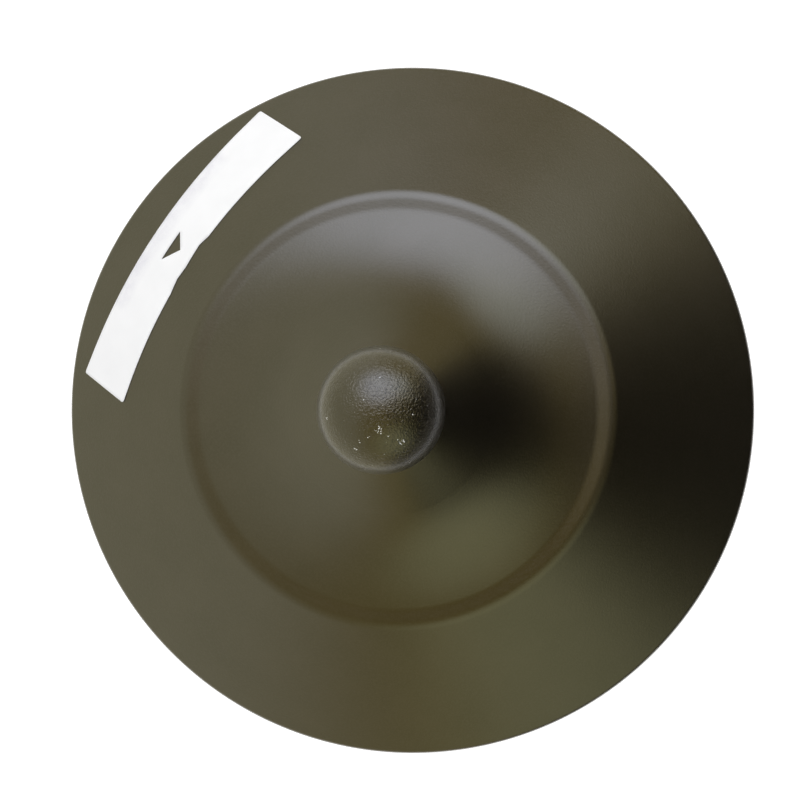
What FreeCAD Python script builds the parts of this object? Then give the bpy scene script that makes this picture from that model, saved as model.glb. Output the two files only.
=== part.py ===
import FreeCAD, Part
import math
import os
import Sketcher

# A handpan: two thin pressed shells glued at the rim, a ball-shaped boss on the
# flared neck of the upper shell, a sound port turned inwards at the bottom, four
# screwed rubber feet and a paper label on the skirt.
#
# Frame: +Z is up, the origin is on the axis of the shells in the plane the feet
# stand on. Sections are drawn with x as the radius and y as the height.

FOOT_COUNT = 4
UP = FreeCAD.Vector(0, 0, 1)
NO_TURN = FreeCAD.Rotation()
UPRIGHT = FreeCAD.Rotation(FreeCAD.Vector(1, 0, 0), 90)

# Lengths in millimetres, angles in degrees.
DIMS = {
    "sheet_thickness": 1.2,
    # upper shell, outer face, from the lip to the neck
    "rim_radius": 165.0,
    "lip_bottom": 67.0,
    "lip_top": 73.0,
    "rim_bend_radius": 4.0,
    "skirt_angle": 38.0,
    "shoulder_bend_radius": 9.5,
    "land_outer_radius": 95.3,
    "land_inner_radius": 92.0,
    "land_angle": 5.0,
    "land_bend_radius": 12.0,
    "dish_radius": 99.0,
    "dish_end_radius": 46.0,
    "cone_angle": 48.0,
    "neck_bend_radius": 1.5,
    "collar_radius": 22.4,
    "collar_length": 4.0,
    # boss
    "ball_radius": 27.0,
    "ball_seat_radius": 24.6,
    "braze_leg": 1.1,
    # lower shell, outer face, from the port to the wall
    "port_radius": 38.0,
    "port_top": 30.0,
    "port_bend_radius": 8.0,
    "foot_height": 9.0,
    "base_outer_radius": 96.0,
    "bowl_radius": 70.9,
    "bilge_radius": 25.0,
    "wall_radius": 163.2,
    "wall_top": 72.5,
    # glue bead under the lip
    "bead_radius": 164.6,
    "bead_bottom": 65.8,
    # rubber feet
    "foot_circle_radius": 82.0,
    "foot_start_angle": 10.5,
    "foot_top_radius": 11.0,
    "foot_bottom_radius": 9.5,
    "foot_recess_radius": 5.5,
    "foot_recess_depth": 4.6,
    "foot_hole_radius": 2.1,
    "screw_hole_radius": 2.25,
    # fasteners, M4
    "washer_hole_radius": 2.15,
    "recess_washer_radius": 5.0,
    "recess_washer_bottom": 3.8,
    "inner_washer_radius": 4.5,
    "inner_washer_top": 11.0,
    "shank_radius": 2.0,
    "shank_tip_radius": 1.5,
    "shank_tip_start": 15.0,
    "shank_end": 15.5,
    "head_radius": 4.0,
    "head_face_radius": 3.2,
    "head_bottom": 1.4,
    "head_side_bottom": 2.1,
    "socket_corner_radius": 1.45,
    "socket_depth": 1.4,
    "nut_corner_radius": 4.04,
    "nut_hole_radius": 2.05,
    "nut_thickness": 3.2,
    # label, measured on the skirt unrolled flat: distances from the apex of the
    # cone, distances along the strip from its middle, and how askew it is glued
    "label_thickness": 0.15,
    "label_azimuth": 144.1,
    "label_tilt": 2.1,
    "label_inner": 152.2,
    "label_outer": 185.7,
    "label_half_length": 77.2,
    "notch_start": 12.6,
    "notch_first_dip": 6.7,
    "notch_crest": 5.4,
    "notch_second_dip": 12.4,
    "notch_end": 20.0,
    "notch_first_dip_out": 153.9,
    "notch_crest_out": 152.9,
    "notch_second_dip_out": 153.6,
    "window_start": 6.7,
    "window_end": 9.4,
    "window_tip": 0.4,
    "window_base_out": 171.1,
    "window_tip_out": 163.1,
}

# Sizes that follow from the ones above.
DIMS["lip_inner_radius"] = DIMS["rim_radius"] - DIMS["sheet_thickness"]
DIMS["base_inner_face"] = DIMS["foot_height"] + DIMS["sheet_thickness"]
DIMS["recess_washer_top"] = DIMS["foot_recess_depth"]
DIMS["ball_inner_radius"] = DIMS["ball_radius"] - DIMS["sheet_thickness"]
DIMS["label_middle"] = (DIMS["label_inner"] + DIMS["label_outer"]) / 2


def bend_advance(radius, first, last):
    """How far a left-hand bend moves along x between two headings in degrees."""
    return radius * (math.sin(math.radians(last)) - math.sin(math.radians(first)))


class Section:
    """An open chain of tangent lines and arcs whose sizes are tied to the sheet."""

    def __init__(self, doc, name, radius, height, heading):
        self.sketch = doc.addObject("Sketcher::SketchObject", name)
        self.sketch.Placement = FreeCAD.Placement(FreeCAD.Vector(), UPRIGHT)
        self.x = DIMS[radius]
        self.y = DIMS[height]
        self.heading = heading
        self.pieces = []
        self.start_names = (radius, height)

    def bind(self, constraint, name, expression):
        index = self.sketch.addConstraint(constraint)
        self.sketch.renameConstraint(index, name)
        self.sketch.setExpression("Constraints." + name, expression)

    def join(self, geometry, entry, leave):
        """Add a piece and make it tangent to the one before it."""
        index = self.sketch.addGeometry(geometry)
        if self.pieces:
            last, _, last_leave = self.pieces[-1]
            self.sketch.addConstraint(Sketcher.Constraint("Tangent", last, last_leave, index, entry))
        else:
            self.place(index, entry, *self.start_names)
        self.pieces.append((index, entry, leave))
        return self.pieces[-1]

    def place(self, index, end, radius=None, height=None):
        """Tie the position of an end to sheet values."""
        if radius:
            self.bind(Sketcher.Constraint("DistanceX", -1, 1, index, end, DIMS[radius]),
                      f"x_{index}_{radius}", "Dims." + radius)
        if height:
            self.bind(Sketcher.Constraint("DistanceY", -1, 1, index, end, DIMS[height]),
                      f"y_{index}_{height}", "Dims." + height)

    def line(self, length):
        start = FreeCAD.Vector(self.x, self.y, 0)
        self.x += length * math.cos(math.radians(self.heading))
        self.y += length * math.sin(math.radians(self.heading))
        return self.join(Part.LineSegment(start, FreeCAD.Vector(self.x, self.y, 0)), 1, 2)

    def line_to_x(self, x):
        return self.line((x - self.x) / math.cos(math.radians(self.heading)))

    def line_to_y(self, y):
        return self.line((y - self.y) / math.sin(math.radians(self.heading)))

    def bend(self, radius, heading):
        """Turn to a new heading along an arc whose radius is a sheet value."""
        size = DIMS[radius]
        left = 1 if heading > self.heading else -1
        side = math.radians(self.heading + 90 * left)
        centre = FreeCAD.Vector(self.x + size * math.cos(side), self.y + size * math.sin(side), 0)
        first = math.radians(self.heading - 90 * left)
        last = math.radians(heading - 90 * left)
        circle = Part.Circle(centre, UP, size)
        self.heading = heading
        self.x = centre.x + size * math.cos(last)
        self.y = centre.y + size * math.sin(last)
        if left > 0:
            piece = self.join(Part.ArcOfCircle(circle, first, last), 1, 2)
        else:
            piece = self.join(Part.ArcOfCircle(circle, last, first), 2, 1)
        self.bind(Sketcher.Constraint("Radius", piece[0], size), f"r_{piece[0]}", "Dims." + radius)
        return piece

    def slope(self, piece, degrees, expression):
        """Tie the direction of a line, counted counter-clockwise from +x."""
        constraint = Sketcher.Constraint("Angle", -1, 1, piece[0], piece[1], math.radians(degrees))
        self.bind(constraint, f"a_{piece[0]}", expression)


def revolve(doc, name, source):
    """Turn a closed face or sketch about the vertical axis into a solid."""
    solid = doc.addObject("Part::Revolution", name)
    solid.Source = source
    solid.Axis = UP
    solid.Base = FreeCAD.Vector()
    solid.Angle = 360
    solid.Solid = True
    return solid


def revolve_sheet(doc, name, section):
    """Thicken an open section inwards by the sheet thickness and revolve it."""
    band = doc.addObject("Part::Offset2D", name + "_band")
    band.Source = section.sketch
    band.Mode = "Skin"
    band.Join = "Intersection"
    band.Fill = True
    band.setExpression("Value", "Dims.sheet_thickness")
    return revolve(doc, name, band)


def bind_corner(sketch, index, x_name, y_name):
    """Tie the start of a line to two sheet values; zero puts it on an axis."""
    for kind, axis, value in (("DistanceX", "x", x_name), ("DistanceY", "y", y_name)):
        if value == 0:
            on_axis = -2 if axis == "x" else -1
            sketch.addConstraint(Sketcher.Constraint("PointOnObject", index, 1, on_axis))
            continue
        number = sketch.addConstraint(Sketcher.Constraint(kind, -1, 1, index, 1, DIMS[value]))
        sketch.renameConstraint(number, f"{axis}_{index}")
        sketch.setExpression(f"Constraints.{axis}_{index}", "Dims." + value)


def draw_polygon(sketch, corners):
    """Draw a closed polygon whose corners are pairs of sheet names or zero."""
    points = [FreeCAD.Vector(DIMS.get(x, 0), DIMS.get(y, 0), 0) for x, y in corners]
    count = len(points)
    for index in range(count):
        sketch.addGeometry(Part.LineSegment(points[index], points[(index + 1) % count]))
    for index in range(count):
        following = (index + 1) % count
        sketch.addConstraint(Sketcher.Constraint("Coincident", index, 2, following, 1))
    for index, (x_name, y_name) in enumerate(corners):
        bind_corner(sketch, index, x_name, y_name)


def upright_polygon(doc, name, corners):
    sketch = doc.addObject("Sketcher::SketchObject", name)
    sketch.Placement = FreeCAD.Placement(FreeCAD.Vector(), UPRIGHT)
    draw_polygon(sketch, corners)
    return sketch


def draw_hexagon(sketch, corner_radius):
    """Draw a regular hexagon about the sketch origin, one corner on +x."""
    size = DIMS[corner_radius]
    circle = sketch.addGeometry(Part.Circle(FreeCAD.Vector(), UP, size), True)
    sketch.addConstraint(Sketcher.Constraint("Coincident", circle, 3, -1, 1))
    number = sketch.addConstraint(Sketcher.Constraint("Radius", circle, size))
    sketch.renameConstraint(number, "corner_radius")
    sketch.setExpression("Constraints.corner_radius", "Dims." + corner_radius)
    corners = []
    for step in range(6):
        angle = math.radians(60 * step)
        corners.append(FreeCAD.Vector(size * math.cos(angle), size * math.sin(angle), 0))
    sides = [sketch.addGeometry(Part.LineSegment(corners[step], corners[(step + 1) % 6]))
             for step in range(6)]
    for step in range(6):
        following = sides[(step + 1) % 6]
        sketch.addConstraint(Sketcher.Constraint("Coincident", sides[step], 2, following, 1))
        sketch.addConstraint(Sketcher.Constraint("PointOnObject", sides[step], 2, circle))
        if step:
            sketch.addConstraint(Sketcher.Constraint("Equal", sides[0], sides[step]))
    sketch.addConstraint(Sketcher.Constraint("PointOnObject", sides[0], 1, -1))


def origin_feature(body, role):
    return [item for item in body.Origin.OriginFeatures if item.Role == role][0]


def body_sketch(body, name, plane, height=None):
    """A sketch on an origin plane, moved out to the foot circle."""
    sketch = body.newObject("Sketcher::SketchObject", name)
    sketch.AttachmentSupport = [(origin_feature(body, plane), "")]
    sketch.MapMode = "FlatFace"
    lift = DIMS[height] if height else 0
    offset = FreeCAD.Vector(DIMS["foot_circle_radius"], 0, lift)
    sketch.AttachmentOffset = FreeCAD.Placement(offset, NO_TURN)
    sketch.setExpression(".AttachmentOffset.Base.x", "Dims.foot_circle_radius")
    if height:
        sketch.setExpression(".AttachmentOffset.Base.z", "Dims." + height)
    return sketch


def fastener_body(doc, name):
    body = doc.addObject("PartDesign::Body", name)
    body.AllowCompound = True
    body.Placement = FreeCAD.Placement(
        FreeCAD.Vector(), FreeCAD.Rotation(UP, DIMS["foot_start_angle"]))
    return body


def revolved_feature(body, section):
    turned = body.newObject("PartDesign::Revolution", body.Name + "_turned")
    turned.Profile = section
    turned.ReferenceAxis = (section, ["V_Axis"])
    turned.Angle = 360
    return turned


def repeat_at_feet(doc, body, features):
    """Repeat features around the vertical axis, one for each foot."""
    pattern = body.newObject("PartDesign::PolarPattern", body.Name + "_pattern")
    pattern.Originals = features
    pattern.Axis = (origin_feature(body, "Z_Axis"), [""])
    pattern.Angle = 360
    pattern.Occurrences = FOOT_COUNT
    body.Tip = pattern
    doc.recompute()
    if len(body.Shape.Solids) != FOOT_COUNT:
        raise RuntimeError(body.Label + " does not have one solid for each foot")
    return body


def build_upper_shell(doc):
    """The section runs up the lip, along the skirt and up the dish to the collar."""
    skirt_heading = 180 - DIMS["skirt_angle"]
    land_heading = 180 - DIMS["land_angle"]
    cone_heading = 180 - DIMS["cone_angle"]

    # heading at which the small bend inside the land passes into the dish arc
    dish_reach = DIMS["land_inner_radius"] - DIMS["dish_end_radius"]
    small, large = DIMS["land_bend_radius"], DIMS["dish_radius"]
    rise = large * math.sin(math.radians(cone_heading)) - small * math.sin(math.radians(land_heading))
    dish_heading = 180 - math.degrees(math.asin((rise - dish_reach) / (large - small)))

    section = Section(doc, "upper_shell_section", "rim_radius", "lip_bottom", 90)
    lip = section.line_to_y(DIMS["lip_top"])
    section.place(lip[0], lip[2], height="lip_top")
    section.sketch.addConstraint(Sketcher.Constraint("Vertical", lip[0]))

    section.bend("rim_bend_radius", skirt_heading)
    skirt_start = (section.x, section.y)
    shoulder = bend_advance(DIMS["shoulder_bend_radius"], skirt_heading, land_heading)
    skirt = section.line_to_x(DIMS["land_outer_radius"] - shoulder)
    section.slope(skirt, skirt_heading, "180 - Dims.skirt_angle")

    section.bend("shoulder_bend_radius", land_heading)
    land = section.line_to_x(DIMS["land_inner_radius"])
    section.slope(land, land_heading, "180 - Dims.land_angle")
    section.place(land[0], land[1], radius="land_outer_radius")
    section.place(land[0], land[2], radius="land_inner_radius")

    section.bend("land_bend_radius", dish_heading)
    dish = section.bend("dish_radius", cone_heading)
    section.place(dish[0], dish[2], radius="dish_end_radius")

    neck = bend_advance(DIMS["neck_bend_radius"], cone_heading, 90)
    seat_length = (section.x - DIMS["ball_seat_radius"]) * math.tan(math.radians(DIMS["cone_angle"]))
    seat_height = section.y + seat_length
    cone = section.line_to_x(DIMS["collar_radius"] + neck)
    section.slope(cone, cone_heading, "180 - Dims.cone_angle")

    section.bend("neck_bend_radius", 90)
    collar_bottom = section.y
    collar = section.line_to_y(collar_bottom + DIMS["collar_length"])
    section.sketch.addConstraint(Sketcher.Constraint("Vertical", collar[0]))
    section.place(collar[0], collar[1], radius="collar_radius")
    section.bind(Sketcher.Constraint("DistanceY", collar[0], 1, collar[0], 2, DIMS["collar_length"]),
                 "collar_length", "Dims.collar_length")

    return revolve_sheet(doc, "upper_shell", section), skirt_start, seat_height


def build_boss_cap(doc):
    """A hollow ball, open below, whose edge is bevelled to lie on the cone."""
    outer, inner = DIMS["ball_radius"], DIMS["ball_inner_radius"]
    centre = FreeCAD.Vector(0, DIMS["ball_centre_height"], 0)
    slope = math.radians(DIMS["cone_angle"])
    seat = FreeCAD.Vector(DIMS["ball_seat_radius"], DIMS["ball_seat_height"], 0)

    # step up the cone from the outer edge until the inner sphere is met
    inward = FreeCAD.Vector(-math.cos(slope), math.sin(slope), 0)
    reach = (seat - centre).dot(inward)
    step = -reach - math.sqrt(reach ** 2 - (outer ** 2 - inner ** 2))
    inner_edge = seat + inward * step

    sketch = doc.addObject("Sketcher::SketchObject", "boss_cap_section")
    sketch.Placement = FreeCAD.Placement(FreeCAD.Vector(), UPRIGHT)
    arcs = []
    for size, edge in ((outer, seat), (inner, inner_edge)):
        first = math.atan2(edge.y - centre.y, edge.x)
        arcs.append(sketch.addGeometry(Part.ArcOfCircle(Part.Circle(centre, UP, size), first, math.pi / 2)))
    top = sketch.addGeometry(Part.LineSegment(
        centre + FreeCAD.Vector(0, outer, 0), centre + FreeCAD.Vector(0, inner, 0)))
    bevel = sketch.addGeometry(Part.LineSegment(seat, inner_edge))
    for pair in ((arcs[0], 2, top, 1), (arcs[1], 2, top, 2), (arcs[0], 1, bevel, 1), (arcs[1], 1, bevel, 2)):
        sketch.addConstraint(Sketcher.Constraint("Coincident", *pair))
    sketch.addConstraint(Sketcher.Constraint("Coincident", arcs[0], 3, arcs[1], 3))
    sketch.addConstraint(Sketcher.Constraint("PointOnObject", arcs[0], 3, -2))
    sketch.addConstraint(Sketcher.Constraint("PointOnObject", top, 1, -2))
    sketch.addConstraint(Sketcher.Constraint("PointOnObject", top, 2, -2))
    sizes = (
        ("ball_radius", Sketcher.Constraint("Radius", arcs[0], outer)),
        ("ball_inner_radius", Sketcher.Constraint("Radius", arcs[1], inner)),
        ("ball_seat_radius", Sketcher.Constraint("DistanceX", -1, 1, bevel, 1, seat.x)),
        ("ball_seat_height", Sketcher.Constraint("DistanceY", -1, 1, bevel, 1, seat.y)),
        ("cone_angle", Sketcher.Constraint("Angle", -1, 1, bevel, 1, math.pi - slope)),
    )
    for name, constraint in sizes:
        number = sketch.addConstraint(constraint)
        sketch.renameConstraint(number, name)
        value = "180 - Dims.cone_angle" if name == "cone_angle" else "Dims." + name
        sketch.setExpression("Constraints." + name, value)
    return revolve(doc, "boss_cap", sketch)


def build_braze_ring(doc):
    """A bead of braze in the crease where the ball meets the cone."""
    corners = [
        ("ball_seat_radius", "ball_seat_height"),
        ("braze_cone_radius", "braze_cone_height"),
        ("braze_ball_radius", "braze_ball_height"),
    ]
    wedge = revolve(doc, "braze_wedge", upright_polygon(doc, "braze_section", corners))
    ball = doc.addObject("Part::Sphere", "braze_ball")
    ball.setExpression("Radius", "Dims.ball_radius")
    ball.setExpression("Placement.Base.z", "Dims.ball_centre_height")
    ring = doc.addObject("Part::Cut", "boss_braze_ring")
    ring.Base = wedge
    ring.Tool = ball
    return ring


def build_lower_shell(doc):
    """The section runs down the port, out along the base and up the wall."""
    base = DIMS["base_outer_radius"]
    bowl, bilge = DIMS["bowl_radius"], DIMS["bilge_radius"]
    bowl_heading = math.degrees(math.asin((DIMS["wall_radius"] - base - bilge) / (bowl - bilge)))

    section = Section(doc, "lower_shell_section", "port_radius", "port_top", -90)
    port = section.line_to_y(DIMS["foot_height"] + DIMS["port_bend_radius"])
    section.sketch.addConstraint(Sketcher.Constraint("Vertical", port[0]))
    section.bend("port_bend_radius", 0)
    flat = section.line_to_x(base)
    section.sketch.addConstraint(Sketcher.Constraint("Horizontal", flat[0]))
    section.place(flat[0], flat[2], radius="base_outer_radius", height="foot_height")
    section.bend("bowl_radius", bowl_heading)
    section.bend("bilge_radius", 90)
    wall = section.line_to_y(DIMS["wall_top"])
    section.sketch.addConstraint(Sketcher.Constraint("Vertical", wall[0]))
    section.place(wall[0], wall[2], radius="wall_radius", height="wall_top")
    bowl_shell = revolve_sheet(doc, "bowl", section)

    drills = []
    for index in range(FOOT_COUNT):
        drill = doc.addObject("Part::Cylinder", f"screw_drill_{index + 1}")
        drill.setExpression("Radius", "Dims.screw_hole_radius")
        drill.setExpression("Height", "Dims.inner_washer_top")
        tie_to_foot(drill, index)
        drills.append(drill)
    drill_set = doc.addObject("Part::MultiFuse", "screw_drills")
    drill_set.Shapes = drills
    shell = doc.addObject("Part::Cut", "lower_shell")
    shell.Base = bowl_shell
    shell.Tool = drill_set
    return shell


def tie_to_foot(item, index):
    """Move an object out to one of the foot positions."""
    angle = f"(Dims.foot_start_angle + {360 // FOOT_COUNT * index})"
    item.setExpression("Placement.Base.x", f"Dims.foot_circle_radius * cos({angle})")
    item.setExpression("Placement.Base.y", f"Dims.foot_circle_radius * sin({angle})")


def build_rim_adhesive(doc):
    corners = [
        ("wall_radius", "bead_bottom"),
        ("bead_radius", "lip_bottom"),
        ("lip_inner_radius", "lip_bottom"),
        ("lip_inner_radius", "wall_top"),
        ("wall_radius", "wall_top"),
    ]
    return revolve(doc, "rim_adhesive", upright_polygon(doc, "adhesive_section", corners))


def build_feet(doc):
    corners = [
        ("foot_hole_radius", "foot_height"),
        ("foot_hole_radius", "foot_recess_depth"),
        ("foot_recess_radius", "foot_recess_depth"),
        ("foot_recess_radius", 0),
        ("foot_bottom_radius", 0),
        ("foot_top_radius", "foot_height"),
    ]
    section = upright_polygon(doc, "foot_section", corners)
    feet = []
    for index in range(FOOT_COUNT):
        foot = revolve(doc, f"rubber_foot_{index + 1}", section)
        tie_to_foot(foot, index)
        feet.append(foot)
    return feet


def build_washers(doc, name, outer, bottom, top):
    body = fastener_body(doc, name)
    section = body_sketch(body, name + "_section", "XZ_Plane")
    hole = "washer_hole_radius"
    draw_polygon(section, [(hole, bottom), (outer, bottom), (outer, top), (hole, top)])
    doc.recompute()
    return repeat_at_feet(doc, body, [revolved_feature(body, section)])


def build_screws(doc):
    """Pan heads with a hexagon socket, pointing up through foot and shell."""
    body = fastener_body(doc, "foot_screws")
    section = body_sketch(body, "screw_section", "XZ_Plane")
    draw_polygon(section, [
        (0, "head_bottom"),
        ("head_face_radius", "head_bottom"),
        ("head_radius", "head_side_bottom"),
        ("head_radius", "recess_washer_bottom"),
        ("shank_radius", "recess_washer_bottom"),
        ("shank_radius", "shank_tip_start"),
        ("shank_tip_radius", "shank_end"),
        (0, "shank_end"),
    ])
    doc.recompute()
    turned = revolved_feature(body, section)
    doc.recompute()
    solid_volume = body.Shape.Volume

    hexagon = body_sketch(body, "socket_hexagon", "XY_Plane", "head_bottom")
    draw_hexagon(hexagon, "socket_corner_radius")
    doc.recompute()
    socket = body.newObject("PartDesign::Pocket", "screw_socket")
    socket.Profile = hexagon
    socket.setExpression("Length", "Dims.socket_depth")
    socket.Reversed = True
    doc.recompute()
    if not body.Shape.Volume < solid_volume:
        raise RuntimeError("the screw socket removed nothing")
    return repeat_at_feet(doc, body, [turned, socket])


def build_nuts(doc):
    body = fastener_body(doc, "foot_nuts")
    hexagon = body_sketch(body, "nut_hexagon", "XY_Plane", "inner_washer_top")
    draw_hexagon(hexagon, "nut_corner_radius")
    hole = hexagon.addGeometry(Part.Circle(FreeCAD.Vector(), UP, DIMS["nut_hole_radius"]))
    hexagon.addConstraint(Sketcher.Constraint("Coincident", hole, 3, -1, 1))
    number = hexagon.addConstraint(Sketcher.Constraint("Radius", hole, DIMS["nut_hole_radius"]))
    hexagon.renameConstraint(number, "hole_radius")
    hexagon.setExpression("Constraints.hole_radius", "Dims.nut_hole_radius")
    doc.recompute()
    nut = body.newObject("PartDesign::Pad", "nut_pad")
    nut.Profile = hexagon
    nut.setExpression("Length", "Dims.nut_thickness")
    doc.recompute()
    return repeat_at_feet(doc, body, [nut])


def wrap(along, out):
    """Plan position of a point of the label's strip once it lies on the cone."""
    tilt = math.radians(DIMS["label_tilt"])
    middle = DIMS["label_middle"]
    across = out - middle
    tilted_along = along * math.cos(tilt) + across * math.sin(tilt)
    tilted_out = middle + across * math.cos(tilt) - along * math.sin(tilt)
    squash = math.cos(math.radians(DIMS["skirt_angle"]))
    radius = math.hypot(tilted_along, tilted_out) * squash
    angle = math.atan2(tilted_along, tilted_out) / squash
    return FreeCAD.Vector(radius * math.cos(angle), radius * math.sin(angle), 0)


def wrap_expressions(side, along, out):
    """The same position as formulas of the sheet, polar: radius and angle."""
    along = f"{side} * Dims.{along}"
    across = f"(Dims.{out} - Dims.label_middle)"
    tilted_along = f"({along} * cos(Dims.label_tilt) + {across} * sin(Dims.label_tilt))"
    tilted_out = f"(Dims.label_middle + {across} * cos(Dims.label_tilt) - {along} * sin(Dims.label_tilt))"
    radius = f"hypot({tilted_along}; {tilted_out}) * cos(Dims.skirt_angle)"
    angle = f"atan2({tilted_along}; {tilted_out}) / cos(Dims.skirt_angle)"
    return radius, angle


def tie_wrapped(sketch, index, end, corner):
    """Bind one end of a piece to a wrapped point.

    A corner is a side of the strip's middle, -1, 0 or 1, and the sheet names of
    its distance along the strip and from the apex of the cone.
    """
    side, along, out = corner
    point = wrap(side * DIMS[along], DIMS[out])
    radius, angle = wrap_expressions(side, along, out)
    above = point.y > 0
    low, high = ((-1, 1), (index, end)) if above else ((index, end), (-1, 1))
    ties = (
        (f"x_{index}_{end}", Sketcher.Constraint("DistanceX", -1, 1, index, end, point.x),
         f"{radius} * cos({angle})"),
        (f"y_{index}_{end}", Sketcher.Constraint("DistanceY", *low, *high, abs(point.y)),
         f"{1 if above else -1} * {radius} * sin({angle})"),
    )
    for name, constraint, expression in ties:
        number = sketch.addConstraint(constraint)
        sketch.renameConstraint(number, name)
        sketch.setExpression("Constraints." + name, expression)


def wrapped_polygon(doc, name, corners):
    """A polygon in plan whose corners are points of the unrolled skirt."""
    sketch = doc.addObject("Sketcher::SketchObject", name)
    points = [wrap(side * DIMS[along], DIMS[out]) for side, along, out in corners]
    count = len(points)
    for index in range(count):
        sketch.addGeometry(Part.LineSegment(points[index], points[(index + 1) % count]))
    for index in range(count):
        following = (index + 1) % count
        sketch.addConstraint(Sketcher.Constraint("Coincident", index, 2, following, 1))
        tie_wrapped(sketch, index, 1, corners[index])
    return sketch


def wrapped_edge(sketch, out):
    """A long edge of the strip: straight when unrolled, bowed once wrapped."""
    half = DIMS["label_half_length"]
    middle = wrap(0, DIMS[out])
    edge = sketch.addGeometry(Part.Arc(wrap(-half, DIMS[out]), middle, wrap(half, DIMS[out])))
    tie_wrapped(sketch, edge, 1, (-1, "label_half_length", out))
    tie_wrapped(sketch, edge, 2, (1, "label_half_length", out))
    point = sketch.addGeometry(Part.Point(middle), True)
    sketch.addConstraint(Sketcher.Constraint("PointOnObject", point, 1, edge))
    tie_wrapped(sketch, point, 1, (0, "label_half_length", out))
    return edge


def draw_strip(doc):
    sketch = doc.addObject("Sketcher::SketchObject", "label_strip_outline")
    inner = wrapped_edge(sketch, "label_inner")
    outer = wrapped_edge(sketch, "label_outer")
    half = DIMS["label_half_length"]
    for end, along in ((1, -half), (2, half)):
        side = sketch.addGeometry(Part.LineSegment(
            wrap(along, DIMS["label_inner"]), wrap(along, DIMS["label_outer"])))
        sketch.addConstraint(Sketcher.Constraint("Coincident", side, 1, inner, end))
        sketch.addConstraint(Sketcher.Constraint("Coincident", side, 2, outer, end))
    return sketch


def raise_up(doc, name, outline):
    """Extrude an outline from the ground to above the top of the label."""
    prism = doc.addObject("Part::Extrusion", name)
    prism.Base = outline
    prism.DirMode = "Custom"
    prism.Dir = UP
    prism.setExpression("LengthFwd", "Dims.layer_high_top")
    prism.Solid = True
    return prism


def build_label(doc):
    """A thin layer on the skirt, trimmed to the strip, its notch and its window."""
    layer = revolve(doc, "label_layer", upright_polygon(doc, "label_layer_section", [
        ("layer_low_radius", "layer_low_height"),
        ("layer_low_radius", "layer_low_top"),
        ("layer_high_radius", "layer_high_top"),
        ("layer_high_radius", "layer_high_height"),
    ]))
    strip = doc.addObject("Part::Common", "label_strip")
    strip.Base = layer
    strip.Tool = raise_up(doc, "label_strip_prism", draw_strip(doc))

    notch = wrapped_polygon(doc, "label_notch_outline", [
        (-1, "notch_start", "label_inner"),
        (-1, "notch_first_dip", "notch_first_dip_out"),
        (1, "notch_crest", "notch_crest_out"),
        (1, "notch_second_dip", "notch_second_dip_out"),
        (1, "notch_end", "label_inner"),
    ])
    window = wrapped_polygon(doc, "label_window_outline", [
        (-1, "window_start", "window_base_out"),
        (1, "window_end", "window_base_out"),
        (1, "window_tip", "window_tip_out"),
    ])
    openings = doc.addObject("Part::MultiFuse", "label_openings")
    openings.Shapes = [raise_up(doc, "label_notch", notch), raise_up(doc, "label_window", window)]
    label = doc.addObject("Part::Cut", "maker_label")
    label.Base = strip
    label.Tool = openings
    label.Placement = FreeCAD.Placement(FreeCAD.Vector(), FreeCAD.Rotation(UP, DIMS["label_azimuth"]))
    return label


def set_size(sheet, row, name):
    sheet.set(f"A{row}", name)
    sheet.set(f"B{row}", repr(round(DIMS[name], 6)))
    sheet.setAlias(f"B{row}", name)


def add_sizes(sheet, sizes):
    """Write further sizes below the ones the sheet already holds."""
    for name, value in sizes.items():
        DIMS[name] = round(value, 6)
        set_size(sheet, len(DIMS), name)


def boss_sizes(seat_height):
    """Where the ball and its braze bead sit once the cone is known."""
    seat, ball = DIMS["ball_seat_radius"], DIMS["ball_radius"]
    slope = math.radians(DIMS["cone_angle"])
    leg = DIMS["braze_leg"]
    centre = seat_height + math.sqrt(ball ** 2 - seat ** 2)
    up_the_ball = math.atan2(seat_height - centre, seat) + leg / ball
    return {
        "ball_seat_height": seat_height,
        "ball_centre_height": centre,
        "braze_cone_radius": seat + leg * math.cos(slope),
        "braze_cone_height": seat_height - leg * math.sin(slope),
        "braze_ball_radius": ball * math.cos(up_the_ball),
        "braze_ball_height": centre + ball * math.sin(up_the_ball),
    }


def layer_sizes(skirt_start):
    """Corners of the thin layer that the label is cut from."""
    slope = math.radians(DIMS["skirt_angle"])
    lift = DIMS["label_thickness"] / math.cos(slope)
    low, low_height = skirt_start
    high = DIMS["land_outer_radius"] + 2 * DIMS["shoulder_bend_radius"]
    high_height = low_height + (low - high) * math.tan(slope)
    return {
        "layer_low_radius": low,
        "layer_low_height": low_height,
        "layer_low_top": low_height + lift,
        "layer_high_radius": high,
        "layer_high_height": high_height,
        "layer_high_top": high_height + lift,
    }


def check_document(doc):
    for item in doc.Objects:
        if "Invalid" in item.State or "Error" in item.State:
            raise RuntimeError(f"{item.Label} did not compute")


def export_nodes(nodes):
    os.makedirs("parts", exist_ok=True)
    for node in nodes:
        shape = node.Shape
        if shape.isNull() or not shape.isValid() or not shape.Solids:
            raise RuntimeError(node.Label + " has no valid solid")
        box = shape.BoundBox
        print(f"{node.Label}: solids {len(shape.Solids)}, volume {shape.Volume:.1f}, "
              f"x {box.XMin:.2f} {box.XMax:.2f}, y {box.YMin:.2f} {box.YMax:.2f}, "
              f"z {box.ZMin:.2f} {box.ZMax:.2f}")
        shape.exportStep("parts/" + node.Label + ".step")


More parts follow.
